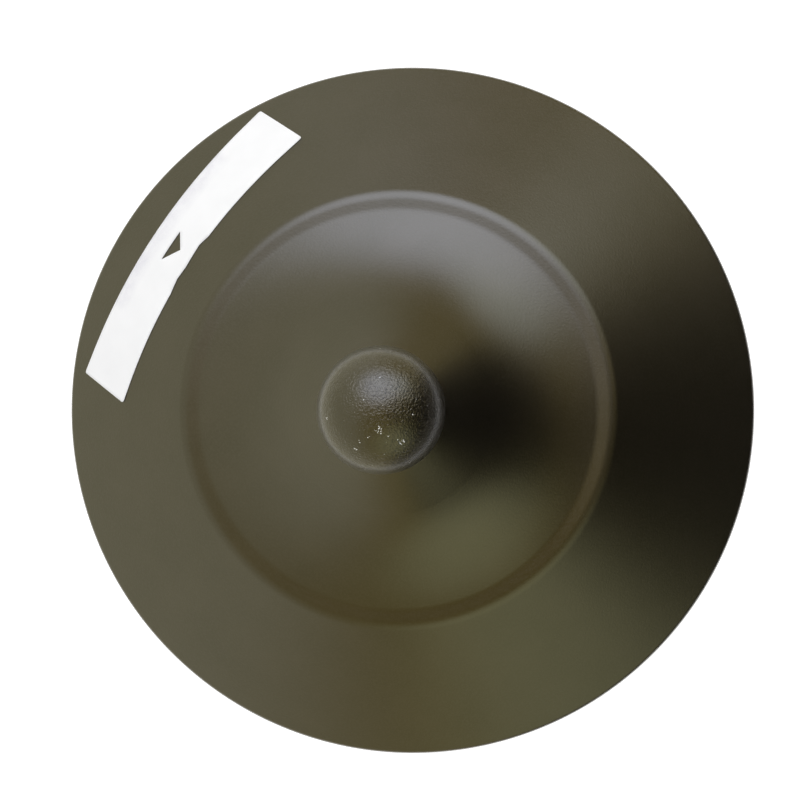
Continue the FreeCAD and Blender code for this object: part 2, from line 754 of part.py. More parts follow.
def main():
    doc = FreeCAD.newDocument("handpan")
    sheet = doc.addObject("Spreadsheet::Sheet", "Dims")
    for row, name in enumerate(DIMS, start=1):
        set_size(sheet, row, name)
    doc.recompute()

    upper_shell, skirt_start, seat_height = build_upper_shell(doc)
    add_sizes(sheet, boss_sizes(seat_height))
    add_sizes(sheet, layer_sizes(skirt_start))
    doc.recompute()

    nodes = [upper_shell, build_boss_cap(doc), build_braze_ring(doc)]
    nodes.append(build_lower_shell(doc))
    nodes.append(build_rim_adhesive(doc))
    nodes.append(build_label(doc))
    nodes.extend(build_feet(doc))
    nodes.append(build_washers(
        doc, "foot_recess_washers", "recess_washer_radius", "recess_washer_bottom", "recess_washer_top"))
    nodes.append(build_washers(
        doc, "foot_inner_washers", "inner_washer_radius", "base_inner_face", "inner_washer_top"))
    nodes.append(build_screws(doc))
    nodes.append(build_nuts(doc))
    doc.recompute()
    check_document(doc)
    export_nodes(nodes)


main()
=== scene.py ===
import math

import bpy
from mathutils import Matrix, Vector, noise
from mathutils.geometry import delaunay_2d_cdt, intersect_point_line


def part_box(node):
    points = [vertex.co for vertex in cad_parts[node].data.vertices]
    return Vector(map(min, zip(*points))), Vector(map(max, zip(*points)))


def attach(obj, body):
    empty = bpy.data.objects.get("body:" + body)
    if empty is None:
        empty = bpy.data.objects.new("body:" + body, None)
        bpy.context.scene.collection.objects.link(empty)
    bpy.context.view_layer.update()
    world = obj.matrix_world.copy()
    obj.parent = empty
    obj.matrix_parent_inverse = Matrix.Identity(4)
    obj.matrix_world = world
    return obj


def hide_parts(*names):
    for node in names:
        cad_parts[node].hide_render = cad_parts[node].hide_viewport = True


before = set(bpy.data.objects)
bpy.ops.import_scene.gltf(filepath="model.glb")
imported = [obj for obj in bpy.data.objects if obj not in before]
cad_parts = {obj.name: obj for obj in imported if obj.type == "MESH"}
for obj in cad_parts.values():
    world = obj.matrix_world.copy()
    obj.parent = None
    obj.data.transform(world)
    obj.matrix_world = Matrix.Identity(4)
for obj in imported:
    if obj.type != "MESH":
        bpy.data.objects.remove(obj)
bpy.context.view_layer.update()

# A handpan: two lacquered steel shells glued at the rim, a ball-shaped boss on the
# flared neck, a paper label on the skirt and rubber feet. Lengths are in metres.

MM = 0.001

# Shells, as the outer faces run. Radii and heights come from the CAD boxes.
SHEET = 1.2 * MM
LIP_HEIGHT = 6.0 * MM
RIM_BEND = 4.0 * MM
SKIRT_ANGLE = math.radians(38.0)
SHOULDER_BEND = 9.5 * MM
LAND_OUTER = 95.3 * MM
LAND_INNER = 92.0 * MM
LAND_ANGLE = math.radians(5.0)
LAND_BEND = 12.0 * MM
DISH_RADIUS = 99.0 * MM
DISH_END = 46.0 * MM
CONE_ANGLE = math.radians(48.0)
NECK_BEND = 1.5 * MM
COLLAR_RADIUS = 22.4 * MM
PORT_BEND = 8.0 * MM
PORT_RADIUS = 38.0 * MM
PORT_TOP = 30.0 * MM
BASE_OUTER = 96.0 * MM
BOWL_RADIUS = 70.9 * MM
BILGE_RADIUS = 25.0 * MM

# Label, on the skirt unrolled flat: distances from the apex and along the strip.
LABEL_AZIMUTH = math.radians(144.1)
LABEL_TILT = math.radians(2.1)
LABEL_INNER = 152.2 * MM
LABEL_OUTER = 185.7 * MM
LABEL_HALF = 77.2 * MM
LABEL_THICKNESS = 0.15 * MM
LABEL_CORNER = 1.2 * MM
LABEL_GRID = 2.0 * MM
CURL_REACH = 9.0 * MM
CURL_HEIGHT = 0.22 * MM
COCKLE = 0.02 * MM
COCKLE_SCALE = 90.0
PRINT_MIDDLE = -4.0 * MM
PRINT_HALF = 46.0 * MM
PRINT_DEPTH = 11.0 * MM
PRINT_FADE = 4.0 * MM

# The label's two-dip notch in its inner edge and its triangular window, in millimetres.
NOTCH = ((-12.6, 152.2), (-6.7, 153.9), (5.4, 152.9), (12.4, 153.6), (20.0, 152.2))
WINDOW = ((-6.7, 171.1), (9.4, 171.1), (0.4, 163.1))

# Feet and beads.
FOOT_TAPER = 1.5 * MM
FOOT_RECESS = 5.5 * MM
FOOT_HOLE = 2.1 * MM
FOOT_RECESS_DEPTH = 4.6 * MM
FOOT_EDGE = 0.7 * MM
BRAZE_BURIED = 0.25 * MM
BRAZE_SAG = 0.22 * MM
GLUE_UNEVENNESS = 0.45 * MM

# Dust on the ball: the middle of each dusty spot and how far it reaches, in millimetres.
# A scratch program printed these rows from places read off the picture.
# Below them are the specks and the clumps to a metre, and how strongly the spots gather them.
DUST_SPOTS = (
    (-20.3, -3.2, 208.7, 1.6),
    (2.4, -8.1, 216.9, 2.9),
    (-2.2, -11.0, 215.8, 1.3),
    (-6.1, -12.4, 214.4, 1.7),
    (10.9, -12.5, 212.5, 2.6),
    (-8.3, -15.7, 211.5, 1.8),
    (13.1, -21.7, 200.6, 1.3),
)
DUST_CELLS = 1500.0
DUST_CLUMPS = 800.0
DUST_PULL = 0.55

# Fineness of the meshes.
SEGMENTS = 360
BALL_SEGMENTS = 240
FOOT_SEGMENTS = 72
FLOOR_SEGMENTS = 96
ARC_STEP = math.radians(4.0)
LINE_STEP = 6.0 * MM
SUPPORT = 0.5 * MM
ROUND_STEPS = 6
ON_AXIS = 1e-7

# The room as gloss mirrors it, laid over one colour patch by patch: degrees off the
# vertical and round from +X, outer and inner radius in degrees, colour. A scratch
# program fitted these numbers to the picture's shading, and some were changed by hand.
ROOM_COLOUR = (0.370, 0.289, 0.060)
ROOM_PATCHES = (
    (108, 174, 106, 56, (0.70, 0.70, 0.53)),
    (180, 0, 92, 40, (0.48, 0.45, 0.30)),
    (180, 0, 67, 50, (1.25, 1.22, 0.86)),
    (110, -19, 68, 50, (0.00, 0.00, 0.00)),
    (35, -13, 22, 2, (0.00, 0.00, 0.00)),
    (59, 53, 27, 0, (1.62, 1.77, 1.74)),
    (42, 90, 40, 0, (2.33, 2.57, 3.20)),
    (65, 294, 38, 0, (0.93, 0.97, 0.61)),
)

# Studio: the light on matt surfaces, the floor's two discs and the key light.
WHITE_LEVEL = 0.85
FLOOR_LIT = 0.30
FLOOR_REACH = 12.0
FLOOR_GLOW = 0.55
LIGHT_DISTANCE = 2.0
KEY_POLAR = 42.0
KEY_AZIMUTH = 80.0
KEY_SPREAD = 31.0
KEY_RADIANCE = 0.9

# Camera: how it leans towards +X, how far it stands off and where it aims beside the axis.
CAMERA_LEAN = math.radians(5.3)
CAMERA_DISTANCE = 0.90
CAMERA_AIM = Vector((-0.0034, 0.0048, 0.0))
CAMERA_LENS = 84.1
CAMERA_SENSOR = 36.0


class Chain:
    """Points along tangent lines and arcs in a section, radius against height."""

    def __init__(self, radius, height, heading):
        self.r = radius
        self.z = height
        self.heading = heading
        self.points = [(radius, height)]
        self.headings = [heading]

    def add(self):
        self.points.append((self.r, self.z))
        self.headings.append(self.heading)

    def line(self, length):
        """A straight run, with a point close to each end to keep its shading flat."""
        r, z = self.r, self.z
        inner = max(1, round((length - 2 * SUPPORT) / LINE_STEP))
        marks = [SUPPORT + (length - 2 * SUPPORT) * k / inner for k in range(inner + 1)]
        if length < 3 * SUPPORT:
            marks = []
        for mark in marks + [length]:
            self.r = r + mark * math.cos(self.heading)
            self.z = z + mark * math.sin(self.heading)
            self.add()

    def line_to_r(self, r):
        self.line((r - self.r) / math.cos(self.heading))

    def line_to_z(self, z):
        self.line((z - self.z) / math.sin(self.heading))

    def bend(self, radius, heading):
        """Turn to a new heading along an arc."""
        turn = heading - self.heading
        side = math.copysign(math.pi / 2, turn)
        centre_r = self.r + radius * math.cos(self.heading + side)
        centre_z = self.z + radius * math.sin(self.heading + side)
        steps = max(3, math.ceil(abs(turn) / ARC_STEP))
        start = self.heading
        for k in range(1, steps + 1):
            self.heading = start + turn * k / steps
            self.r = centre_r + radius * math.cos(self.heading - side)
            self.z = centre_z + radius * math.sin(self.heading - side)
            self.add()

    def offset(self, distance):
        """The same chain moved to its left."""
        moved = []
        for (r, z), heading in zip(self.points, self.headings):
            moved.append((r - distance * math.sin(heading), z + distance * math.cos(heading)))
        return moved


def edge_round(first, last):
    """Points of a half circle from one side of a sheet's edge to the other."""
    a, b = Vector(first), Vector(last)
    middle, arm = (a + b) / 2, (a - b) / 2
    out = Vector((arm.y, -arm.x))
    points = []
    for k in range(1, ROUND_STEPS):
        angle = math.pi * k / ROUND_STEPS
        points.append(tuple(middle + arm * math.cos(angle) + out * math.sin(angle)))
    return points


def sheet_section(chain, thickness):
    """The closed section of a sheet whose outer face follows the chain."""
    outer = chain.points
    inner = chain.offset(thickness)[::-1]
    return outer + edge_round(outer[-1], inner[0]) + inner + edge_round(inner[-1], outer[0])


def mesh_object(name, vertices, faces):
    mesh = bpy.data.meshes.new(name)
    mesh.from_pydata(vertices, [], faces)
    mesh.validate()
    mesh.shade_smooth()
    piece = bpy.data.objects.new(name, mesh)
    bpy.context.scene.collection.objects.link(piece)
    return piece


def lathe(name, section, centre=(0.0, 0.0), segments=SEGMENTS, closed=True, wobble=None):
    """Revolve a section about a vertical axis. Points on the axis become poles."""
    vertices, rings = [], []
    for index, (r, z) in enumerate(section):
        if r < ON_AXIS:
            rings.append([len(vertices)] * segments)
            vertices.append((centre[0], centre[1], z))
            continue
        ring = []
        for k in range(segments):
            turn = 2 * math.pi * k / segments
            reach = r + (wobble(index, turn) if wobble else 0.0)
            ring.append(len(vertices))
            x = centre[0] + reach * math.cos(turn)
            y = centre[1] + reach * math.sin(turn)
            vertices.append((x, y, z))
        rings.append(ring)
    faces = []
    count = len(rings)
    for i in range(count if closed else count - 1):
        here, there = rings[i], rings[(i + 1) % count]
        for k in range(segments):
            following = (k + 1) % segments
            corners = [here[k], here[following], there[following], there[k]]
            face = list(dict.fromkeys(corners))
            if len(face) > 2:
                faces.append(face)
    return mesh_object(name, vertices, faces)


# ---------------------------------------------------------------- materials

# Where nearly all values of a noise lie.
NOISE_LOW, NOISE_HIGH = 0.3, 0.7

OLIVE_DARK = (0.083, 0.071, 0.048, 1)
OLIVE_LIGHT = (0.093, 0.079, 0.056, 1)
OLIVE_CREST = (0.118, 0.102, 0.078, 1)
DUST_WHITE = (0.90, 0.90, 0.90, 1)
PAPER_DARK = (0.855, 0.855, 0.86, 1)
PAPER_LIGHT = (0.885, 0.885, 0.89, 1)
PRINT_GREY = (0.60, 0.59, 0.66, 1)
RUBBER_DARK = (0.012, 0.012, 0.012, 1)
RUBBER_LIGHT = (0.030, 0.029, 0.027, 1)
ZINC_BLUE = (0.56, 0.58, 0.62, 1)
ZINC_GREY = (0.70, 0.70, 0.70, 1)
GLUE_DARK = (0.010, 0.010, 0.011, 1)
GLUE_LIGHT = (0.022, 0.021, 0.020, 1)
FLOOR_DARK = (0.90, 0.90, 0.90, 1)
FLOOR_LIGHT = (0.92, 0.92, 0.92, 1)
WHITE = (1, 1, 1, 1)


class Nodes:
    """A short way to write a node graph. Scales are features to a metre."""

    def __init__(self, owner, place):
        owner.use_nodes = True
        self.tree = owner.node_tree
        self.tree.nodes.clear()
        self.place = self.add("ShaderNodeTexCoord").outputs[place]

    def add(self, kind, **settings):
        node = self.tree.nodes.new(kind)
        for name, value in settings.items():
            setattr(node, name, value)
        return node

    def link(self, source, target):
        self.tree.links.new(source, target)

    def feed(self, node, **inputs):
        """Set or link inputs, with underscores for the spaces in their names."""
        for name, value in inputs.items():
            socket = node.inputs[name.replace("_", " ")]
            if isinstance(value, bpy.types.NodeSocket):
                self.link(value, socket)
            else:
                socket.default_value = value
        return node

    def noise(self, scale, detail=2.0, roughness=0.5):
        node = self.add("ShaderNodeTexNoise")
        self.feed(node, Vector=self.place, Scale=scale, Detail=detail, Roughness=roughness)
        return node.outputs["Fac"]

    def cells(self, scale):
        """Distance from the middles of randomly placed cells."""
        node = self.add("ShaderNodeTexVoronoi")
        self.feed(node, Vector=self.place, Scale=scale)
        return node.outputs["Distance"]

    def remap(self, value, low, high, to_low, to_high, smooth=False):
        node = self.add("ShaderNodeMapRange")
        node.interpolation_type = "SMOOTHSTEP" if smooth else "LINEAR"
        self.feed(node, Value=value, From_Min=low, From_Max=high, To_Min=to_low, To_Max=to_high)
        return node.outputs["Result"]

    def spread(self, value, to_low=0.0, to_high=1.0):
        """A noise, stretched over a range of values."""
        return self.remap(value, NOISE_LOW, NOISE_HIGH, to_low, to_high)

    def math(self, operation, first, second=0.0):
        node = self.add("ShaderNodeMath", operation=operation)
        for socket, value in zip(node.inputs, (first, second)):
            if isinstance(value, bpy.types.NodeSocket):
                self.link(value, socket)
            else:
                socket.default_value = value
        return node.outputs["Value"]

    def mix(self, factor, first, second):
        """Mix two colours; each is a tuple or another node's output."""
        node = self.add("ShaderNodeMix", data_type="RGBA")
        sockets = (node.inputs[0], node.inputs[6], node.inputs[7])
        for socket, value in zip(sockets, (factor, first, second)):
            if isinstance(value, bpy.types.NodeSocket):
                self.link(value, socket)
            else:
                socket.default_value = value
        return node.outputs[2]

    def bump(self, height, distance, strength, normal=None):
        node = self.add("ShaderNodeBump")
        self.feed(node, Height=height, Distance=distance, Strength=strength)
        if normal is not None:
            self.link(normal, node.inputs["Normal"])
        return node.outputs["Normal"]

    def split(self, vector):
        node = self.add("ShaderNodeSeparateXYZ")
        self.link(vector, node.inputs[0])
        return node.outputs

    def vector_math(self, operation, vector):
        """The distance or the dot product of the place and a fixed vector."""
        node = self.add("ShaderNodeVectorMath", operation=operation)
        self.link(self.place, node.inputs[0])
        node.inputs[1].default_value = vector
        return node.outputs["Value"]


class Surface(Nodes):
    """A material with one Principled shader."""

    def __init__(self, name):
        self.material = bpy.data.materials.new(name)
        super().__init__(self.material, "Object")
        self.shader = self.add("ShaderNodeBsdfPrincipled")
        self.link(self.shader.outputs["BSDF"], self.add("ShaderNodeOutputMaterial").inputs["Surface"])


def lacquer(name, grain_size, grain_depth, dull, coat_dull, dust=False):
    """Dark olive-brown satin lacquer over steel, with a fine pebbled grain."""
    n = Surface(name)
    grain = n.noise(1.0 / grain_size, detail=1.5, roughness=0.55)
    mottle = n.noise(38.0, detail=3.0)
    sway = n.noise(9.0, detail=1.0)
    base = n.mix(n.spread(mottle), OLIVE_DARK, OLIVE_LIGHT)
    colour = n.mix(n.remap(grain, 0.40, 0.70, 0.0, 0.3), base, OLIVE_CREST)
    metal = 1.0
    if dust:
        specks = dust_specks(n)
        colour = n.mix(specks, colour, DUST_WHITE)
        metal = n.remap(specks, 0.0, 1.0, 1.0, 0.0)
    waves = n.bump(sway, 0.9 * MM, 0.35)
    n.feed(n.shader, Base_Color=colour, Metallic=metal,
           Roughness=n.spread(grain, dull - 0.03, dull + 0.03),
           Normal=n.bump(grain, grain_depth, 1.0, waves),
           Coat_Weight=1.0, Coat_Roughness=coat_dull, Coat_IOR=1.5)
    return n.material


def dust_specks(n):
    """White specks gathered in a few spots on the side of the ball."""
    speck = n.remap(n.cells(DUST_CELLS), 0.30, 0.46, 1.0, 0.0)
    near = 0.0
    for x, y, z, reach in DUST_SPOTS:
        distance = n.vector_math("DISTANCE", (x * MM, y * MM, z * MM))
        near = n.math("MAXIMUM", n.remap(distance, 0.0, reach * MM, 1.0, 0.0), near)
    pull = n.math("MULTIPLY", near, DUST_PULL)
    crowd = n.math("ADD", n.noise(DUST_CLUMPS, detail=0.0), pull)
    return n.math("MULTIPLY", speck, n.remap(crowd, 0.78, 0.90, 0.0, 1.0))


def paper(name):
    """White uncoated paper with a faint worn print along its outer edge."""
    n = Surface(name)
    strip = n.add("ShaderNodeUVMap", uv_map="strip").outputs["UV"]
    along, out = n.split(strip)[:2]
    fibre = n.noise(900.0, detail=4.0, roughness=0.65)
    cloud = n.noise(70.0)
    white = n.mix(n.spread(cloud), PAPER_DARK, PAPER_LIGHT)
    from_middle = n.math("ABSOLUTE", n.math("ADD", along, -PRINT_MIDDLE))
    ends = n.remap(from_middle, PRINT_HALF - PRINT_FADE, PRINT_HALF, 1.0, 0.0)
    start = n.remap(out, LABEL_OUTER - PRINT_DEPTH, LABEL_OUTER - 0.4 * PRINT_DEPTH, 0.0, 1.0)
    blotch = n.spread(n.noise(130.0), 0.2, 1.0)
    speckle = n.remap(n.noise(1500.0, detail=1.0), 0.4, 0.6, 0.7, 1.0)
    ink = n.math("MULTIPLY", n.math("MULTIPLY", ends, start), n.math("MULTIPLY", blotch, speckle))
    colour = n.mix(n.math("MULTIPLY", ink, 0.5), white, PRINT_GREY)
    n.feed(n.shader, Base_Color=colour, Roughness=n.spread(fibre, 0.62, 0.78),
           Normal=n.bump(fibre, 0.02 * MM, 0.5), Specular_IOR_Level=0.35)
    return n.material


def rubber(name):
    """Matt black rubber."""
    n = Surface(name)
    fine = n.noise(1600.0, detail=3.0)
    dull = n.noise(120.0, detail=3.0)
    colour = n.mix(n.remap(dull, 0.35, 0.7, 0.0, 1.0), RUBBER_DARK, RUBBER_LIGHT)
    n.feed(n.shader, Base_Color=colour, Roughness=n.spread(fine, 0.55, 0.75),
           Normal=n.bump(fine, 0.03 * MM, 0.6))
    return n.material


def zinc(name):
    """Bright zinc plating with a faint spangle."""
    n = Surface(name)
    spangle = n.noise(420.0, detail=4.0, roughness=0.7)
    haze = n.noise(90.0)
    colour = n.mix(n.spread(haze), ZINC_BLUE, ZINC_GREY)
    n.feed(n.shader, Base_Color=colour, Metallic=1.0, Roughness=n.spread(spangle, 0.22, 0.42),
           Normal=n.bump(spangle, 0.01 * MM, 0.4))
    return n.material


def glue(name):
    """Cured black adhesive with a rippled skin."""
    n = Surface(name)
    ripple = n.noise(160.0, detail=3.0)
    colour = n.mix(n.spread(ripple), GLUE_DARK, GLUE_LIGHT)
    n.feed(n.shader, Base_Color=colour, Roughness=n.spread(ripple, 0.32, 0.5),
           Normal=n.bump(ripple, 0.15 * MM, 0.5))
    return n.material


def pale_floor(name):
    """A matt white floor with a little light of its own, so that it stays paper white."""
    n = Surface(name)
    colour = n.mix(n.spread(n.noise(3.0)), FLOOR_DARK, FLOOR_LIGHT)
    n.feed(n.shader, Base_Color=colour, Roughness=0.9, Specular_IOR_Level=0.1,
           Emission_Color=WHITE, Emission_Strength=FLOOR_GLOW)
    return n.material


# ---------------------------------------------------------------- pieces


def upper_shell():
    """The pressed top. Also gives the lower end of the straight skirt, as radius and height."""
    low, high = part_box("upper_shell")
    skirt, land, cone = math.pi - SKIRT_ANGLE, math.pi - LAND_ANGLE, math.pi - CONE_ANGLE
    chain = Chain(high.x, low.z, math.pi / 2)
    chain.line_to_z(low.z + LIP_HEIGHT)
    chain.bend(RIM_BEND, skirt)
    foot = (chain.r, chain.z)
    chain.line_to_r(LAND_OUTER + SHOULDER_BEND * (math.sin(skirt) - math.sin(land)))
    chain.bend(SHOULDER_BEND, land)
    chain.line_to_r(LAND_INNER)
    reach = LAND_INNER - DISH_END
    rise = DISH_RADIUS * math.sin(cone) - LAND_BEND * math.sin(land)
    chain.bend(LAND_BEND, math.pi - math.asin((rise - reach) / (DISH_RADIUS - LAND_BEND)))
    chain.bend(DISH_RADIUS, cone)
    chain.line_to_r(COLLAR_RADIUS + NECK_BEND * (1 - math.sin(cone)))
    chain.bend(NECK_BEND, math.pi / 2)
    chain.line_to_z(high.z)
    return lathe("upper_shell_skin", sheet_section(chain, SHEET)), foot


def boss_ball():
    """A hollow ball whose open edge sits on the cone."""
    low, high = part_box("boss_cap")
    radius = high.x
    centre = high.z - radius

    def arc(size):
        """From the open edge up to the pole."""
        first = math.asin((low.z - centre) / size)
        steps = math.ceil(2 * (math.pi / 2 - first) / ARC_STEP)
        points = []
        for k in range(steps):
            angle = first + (math.pi / 2 - first) * k / steps
            points.append((size * math.cos(angle), centre + size * math.sin(angle)))
        return points + [(0.0, centre + size)]

    section = arc(radius) + arc(radius - SHEET)[::-1]
    return lathe("boss_ball", section, segments=BALL_SEGMENTS)


def braze_bead():
    """A thin concave fillet in the crease between the cone and the ball."""
    low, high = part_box("boss_braze_ring")
    cap_low, cap_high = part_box("boss_cap")
    radius = cap_high.x
    centre = Vector((0.0, cap_high.z - radius))
    crease = Vector((math.sqrt(radius ** 2 - (cap_low.z - centre.y) ** 2), cap_low.z))
    foot = Vector((high.x, low.z))
    lift = high.z - centre.y
    head = Vector((math.sqrt(radius ** 2 - lift ** 2), high.z))
    bite = (crease - (foot + head) / 2).normalized()
    section = [tuple(foot)]
    for k in range(1, ROUND_STEPS):
        share = k / ROUND_STEPS
        sag = math.sin(math.pi * share) * BRAZE_SAG
        section.append(tuple(foot.lerp(head, share) + bite * sag))
    section.append(tuple(head))
    for end in (head, crease, foot):
        section.append((end.x - BRAZE_BURIED, end.y))
    return lathe("braze_bead", section)


def lower_shell():
    """The pressed bowl, from the port's inner end outwards to the rim."""
    low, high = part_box("lower_shell")
    chain = Chain(PORT_RADIUS, PORT_TOP, -math.pi / 2)
    chain.line_to_z(low.z + PORT_BEND)
    chain.bend(PORT_BEND, 0.0)
    chain.line_to_r(BASE_OUTER)
    turn = math.asin((high.x - BASE_OUTER - BILGE_RADIUS) / (BOWL_RADIUS - BILGE_RADIUS))
    chain.bend(BOWL_RADIUS, turn)
    chain.bend(BILGE_RADIUS, math.pi / 2)
    chain.line_to_z(high.z)
    return lathe("lower_shell_skin", sheet_section(chain, SHEET))


def rim_glue():
    """The glue in the rim lap and its slightly uneven bead under the lip."""
    low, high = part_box("rim_adhesive")
    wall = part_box("lower_shell")[1].x
    lip_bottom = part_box("upper_shell")[0].z
    lip_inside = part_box("upper_shell")[1].x - SHEET
    bead = high.x
    slope = lip_bottom - low.z
    section = [
        (wall, low.z),
        (wall + 0.45 * (bead - wall), low.z + 0.22 * slope),
        (wall + 0.85 * (bead - wall), low.z + 0.60 * slope),
        (bead, lip_bottom),
        (lip_inside, lip_bottom),
        (lip_inside, high.z),
        (wall, high.z),
    ]
    share_moved = {1: 0.5, 2: 1.0, 3: 1.0}
    ripple_scale = 9.0

    def wobble(index, turn):
        spot = Vector((math.cos(turn), math.sin(turn), 0.0)) * ripple_scale
        return -abs(noise.noise(spot)) * GLUE_UNEVENNESS * share_moved.get(index, 0.0)

    return lathe("rim_glue", section, wobble=wobble)


def rubber_foot(number):
    """A tapered foot, hollow for its screw, with a recess below for the screw's head."""
    low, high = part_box(f"rubber_foot_{number}")
    centre = (low + high) / 2
    top = high.x - centre.x
    bottom = top - FOOT_TAPER
    recess_top = low.z + FOOT_RECESS_DEPTH
    lean = math.atan2(top - bottom, high.z - low.z)
    chain = Chain(FOOT_RECESS + FOOT_EDGE, low.z, 0.0)
    chain.line_to_r(bottom - FOOT_EDGE)
    chain.bend(FOOT_EDGE, math.pi / 2 - lean)
    chain.line_to_z(high.z - FOOT_EDGE)
    chain.bend(FOOT_EDGE * 0.5, math.pi)
    section = chain.points + [
        (FOOT_HOLE, high.z),
        (FOOT_HOLE, recess_top),
        (FOOT_RECESS, recess_top),
        (FOOT_RECESS, low.z + FOOT_EDGE),
        (FOOT_RECESS + FOOT_EDGE * 0.3, low.z + FOOT_EDGE * 0.3),
    ]
    return lathe(f"foot_{number}", section, centre=(centre.x, centre.y), segments=FOOT_SEGMENTS)


def inside(point, outline):
    """Is a point inside a polygon?"""
    x, y = point
    odd = False
    for (ax, ay), (bx, by) in zip(outline, outline[1:] + outline[:1]):
        if (ay > y) != (by > y) and x < ax + (y - ay) * (bx - ax) / (by - ay):
            odd = not odd
    return odd


def subdivided(outline, step):
    """The outline with extra points on its long sides."""
    points = []
    for a, b in zip(outline, outline[1:] + outline[:1]):
        count = max(1, math.ceil(math.dist(a, b) / step))
        for k in range(count):
            points.append((a[0] + (b[0] - a[0]) * k / count, a[1] + (b[1] - a[1]) * k / count))
    return points


def corner(side, out):
    """Points round a slightly rounded corner of the label, walking anticlockwise."""
    inward = 1 if out == LABEL_INNER else -1
    middle = (side * (LABEL_HALF - LABEL_CORNER), out + inward * LABEL_CORNER)
    start = {(-1, 1): 180, (1, 1): 270, (1, -1): 0, (-1, -1): 90}[(side, inward)]
    points = []
    for turn in (0, 22.5, 45, 67.5, 90):
        angle = math.radians(start + turn)
        along = middle[0] + LABEL_CORNER * math.cos(angle)
        points.append((along, middle[1] + LABEL_CORNER * math.sin(angle)))
    return points


def distance_to(point, path):
    """Distance from a point to the nearest side of a path."""
    spot = Vector(point)
    distances = []
    for a, b in zip(path, path[1:]):
        share = intersect_point_line(spot, Vector(a), Vector(b))[1]
        nearest = Vector(a).lerp(Vector(b), min(1.0, max(0.0, share)))
        distances.append((spot - nearest).length)
    return min(distances)


def curl(point):
    """How far the paper stands off the skirt: most at its two ends, and a little all over."""
    from_end = LABEL_HALF - abs(point[0])
    nearness = max(0.0, 1.0 - from_end / CURL_REACH)
    ripple = noise.noise(Vector((point[0], point[1], 0.0)) * COCKLE_SCALE)
    return CURL_HEIGHT * nearness ** 2 + COCKLE * (1 + ripple)


def on_skirt(along, out, foot, lift):
    """A point of the unrolled strip, tilted, laid on the cone and raised off it."""
    squash = math.cos(SKIRT_ANGLE)
    middle = (LABEL_INNER + LABEL_OUTER) / 2
    across = out - middle
    sideways = along * math.cos(LABEL_TILT) + across * math.sin(LABEL_TILT)
    downhill = middle + across * math.cos(LABEL_TILT) - along * math.sin(LABEL_TILT)
    radius = math.hypot(sideways, downhill) * squash
    turn = LABEL_AZIMUTH + math.atan2(sideways, downhill) / squash
    height = foot[1] + (foot[0] - radius) * math.tan(SKIRT_ANGLE)
    reach = radius + lift * math.sin(SKIRT_ANGLE)
    return (reach * math.cos(turn), reach * math.sin(turn), height + lift * math.cos(SKIRT_ANGLE))


def paper_label(foot):
    """The strip with its notch and window, filled with a grid of points and laid on the skirt."""
    notch = [(along * MM, out * MM) for along, out in NOTCH]
    outline = corner(-1, LABEL_INNER) + notch + corner(1, LABEL_INNER)
    outline += corner(1, LABEL_OUTER) + corner(-1, LABEL_OUTER)
    outline = subdivided(outline, LABEL_GRID)
    window = subdivided([(along * MM, out * MM) for along, out in WINDOW], 0.75 * LABEL_GRID)
    rim = outline + outline[:1]
    hole = window + window[:1]
    points = outline + window
    for i in range(int(2 * LABEL_HALF / LABEL_GRID)):
        for j in range(int((LABEL_OUTER - LABEL_INNER) / LABEL_GRID)):
            spot = (-LABEL_HALF + (i + 0.5) * LABEL_GRID, LABEL_INNER + (j + 0.5) * LABEL_GRID)
            if not inside(spot, outline) or inside(spot, window):
                continue
            if min(distance_to(spot, rim), distance_to(spot, hole)) > 0.45 * LABEL_GRID:
                points.append(spot)
    first, second = len(outline), len(outline) + len(window)
    edges = [(k, (k + 1) % first) for k in range(first)]
    edges += [(k, k + 1 if k + 1 < second else first) for k in range(first, second)]
    flat, _, triangles, *_ = delaunay_2d_cdt([Vector(p) for p in points], edges, [], 0, 1e-7)
    kept = []
    for triangle in triangles:
        middle = sum((flat[k] for k in triangle), Vector((0, 0))) / 3
        if inside(middle, outline) and not inside(middle, window):
            kept.append(triangle)
    vertices = [on_skirt(*spot, foot, LABEL_THICKNESS + curl(spot)) for spot in flat]
    piece = mesh_object("paper_label", vertices, kept)
    uv = piece.data.uv_layers.new(name="strip")
    for loop in piece.data.loops:
        uv.data[loop.index].uv = flat[loop.vertex_index]
    solid = piece.modifiers.new("thickness", "SOLIDIFY")
    solid.thickness = LABEL_THICKNESS
    solid.offset = -1.0
    return piece


def finish_piece(piece, material, slot, *nodes):
    """Hand a piece over: its material, the body it rides and the nodes it replaces. Its slot is not used.
    """
    piece.data.materials.append(material)
    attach(piece, "root")
    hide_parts(*nodes)


def build_object():
    shell, foot = upper_shell()
    skin = lacquer("olive_lacquer", grain_size=1.0 * MM, grain_depth=0.09 * MM, dull=0.41, coat_dull=0.26)
    finish_piece(shell, skin, "upper_lacquer", "upper_shell")
    finish_piece(lower_shell(), skin, "lower_lacquer", "lower_shell")
    pebbled = lacquer("olive_lacquer_boss", grain_size=0.95 * MM, grain_depth=0.60 * MM,
                      dull=0.33, coat_dull=0.30, dust=True)
    finish_piece(boss_ball(), pebbled, "boss_lacquer", "boss_cap")
    finish_piece(braze_bead(), skin, "boss_lacquer", "boss_braze_ring")
    finish_piece(rim_glue(), glue("black_glue"), "adhesive", "rim_adhesive")
    finish_piece(paper_label(foot), paper("white_paper"), "label_paper", "maker_label")
    black = rubber("black_rubber")
    for number in range(1, 5):
        finish_piece(rubber_foot(number), black, "foot_rubber", f"rubber_foot_{number}")
    plated = zinc("zinc_plate")
    for node in ("foot_recess_washers", "foot_screws", "foot_inner_washers", "foot_nuts"):
        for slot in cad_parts[node].material_slots:
            slot.material = plated


# ---------------------------------------------------------------- stage


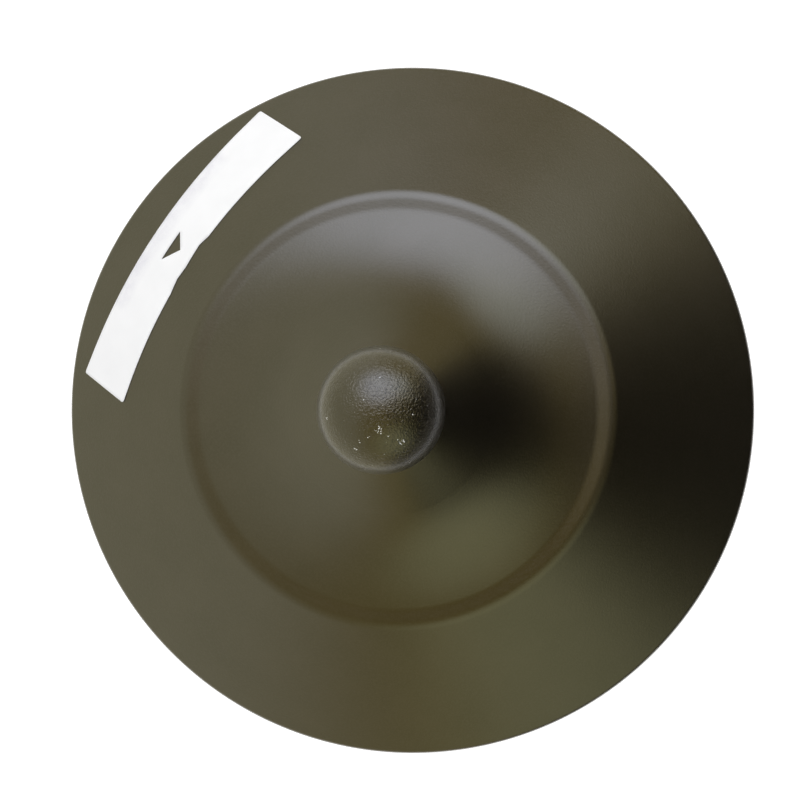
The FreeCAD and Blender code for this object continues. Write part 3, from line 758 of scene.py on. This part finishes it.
def build_floor():
    """A white floor. Gloss mirrors only the lit part of it round the object."""
    white = pale_floor("pale_floor")
    near_edges = [(0.0, 0.0), (FLOOR_LIT, 0.0)]
    far_edges = [(FLOOR_LIT, 0.0), (FLOOR_REACH, 0.0)]
    near = lathe("floor_near", near_edges, segments=FLOOR_SEGMENTS, closed=False)
    far = lathe("floor_far", far_edges, segments=FLOOR_SEGMENTS, closed=False)
    far.visible_glossy = False
    for part in (near, far):
        part.data.materials.append(white)


def toward(polar, azimuth):
    """A direction from degrees off the vertical and round from +X."""
    polar, azimuth = math.radians(polar), math.radians(azimuth)
    across = math.sin(polar)
    return Vector((across * math.cos(azimuth), across * math.sin(azimuth), math.cos(polar)))


def patch(n, polar, azimuth, outer, inner):
    """A round patch of the surroundings, 1 within the inner angle and 0 beyond the outer."""
    facing = n.vector_math("DOT_PRODUCT", toward(polar, azimuth))
    edge, core = math.cos(math.radians(outer)), math.cos(math.radians(inner))
    return n.remap(facing, edge, core, 0.0, 1.0, smooth=True)


def build_world():
    """Even white light, mirrored by gloss as a room of soft bright and dark patches."""
    world = bpy.data.worlds.new("studio")
    bpy.context.scene.world = world
    n = Nodes(world, "Generated")
    room = (*ROOM_COLOUR, 1)
    for polar, azimuth, outer, inner, colour in ROOM_PATCHES:
        room = n.mix(patch(n, polar, azimuth, outer, inner), room, (*colour, 1))
    light_path = n.add("ShaderNodeLightPath").outputs
    soft_white = (WHITE_LEVEL, WHITE_LEVEL, WHITE_LEVEL, 1)
    white = n.mix(light_path["Is Camera Ray"], soft_white, WHITE)
    background = n.add("ShaderNodeBackground")
    n.feed(background, Color=n.mix(light_path["Is Glossy Ray"], white, room), Strength=1.0)
    n.link(background.outputs[0], n.add("ShaderNodeOutputWorld").inputs["Surface"])


def build_key_light():
    """A round neutral light that faces the boss. Gloss sees the room's patches in its place."""
    target = Vector((0.0, 0.0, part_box("boss_cap")[0].z))
    direction = toward(KEY_POLAR, KEY_AZIMUTH)
    radius = LIGHT_DISTANCE * math.tan(math.radians(KEY_SPREAD))
    light = bpy.data.lights.new("key", "AREA")
    light.shape = "DISK"
    light.size = 2 * radius
    light.energy = KEY_RADIANCE * math.pi * math.pi * radius ** 2
    holder = bpy.data.objects.new("key", light)
    bpy.context.scene.collection.objects.link(holder)
    holder.visible_glossy = False
    holder.location = target + direction * LIGHT_DISTANCE
    holder.rotation_mode = "QUATERNION"
    holder.rotation_quaternion = direction.to_track_quat("Z", "Y")


def build_camera():
    """Almost straight above, leaning a little towards +X."""
    rim = Vector((0.0, 0.0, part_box("upper_shell")[0].z + LIP_HEIGHT))
    back = Vector((math.sin(CAMERA_LEAN), 0.0, math.cos(CAMERA_LEAN)))
    camera = bpy.data.cameras.new("camera")
    camera.sensor_width = CAMERA_SENSOR
    camera.lens = CAMERA_LENS
    holder = bpy.data.objects.new("camera", camera)
    bpy.context.scene.collection.objects.link(holder)
    position = rim + back * CAMERA_DISTANCE
    forward = (rim + CAMERA_AIM - position).normalized()
    right = forward.cross(Vector((0.0, 1.0, 0.0))).normalized()
    up = right.cross(forward)
    turn = Matrix((right, up, -forward)).transposed().to_4x4()
    holder.matrix_world = Matrix.Translation(position) @ turn
    bpy.context.scene.camera = holder


build_object()
build_floor()
build_world()
build_key_light()
build_camera()
bpy.context.scene.view_settings.view_transform = "Standard"
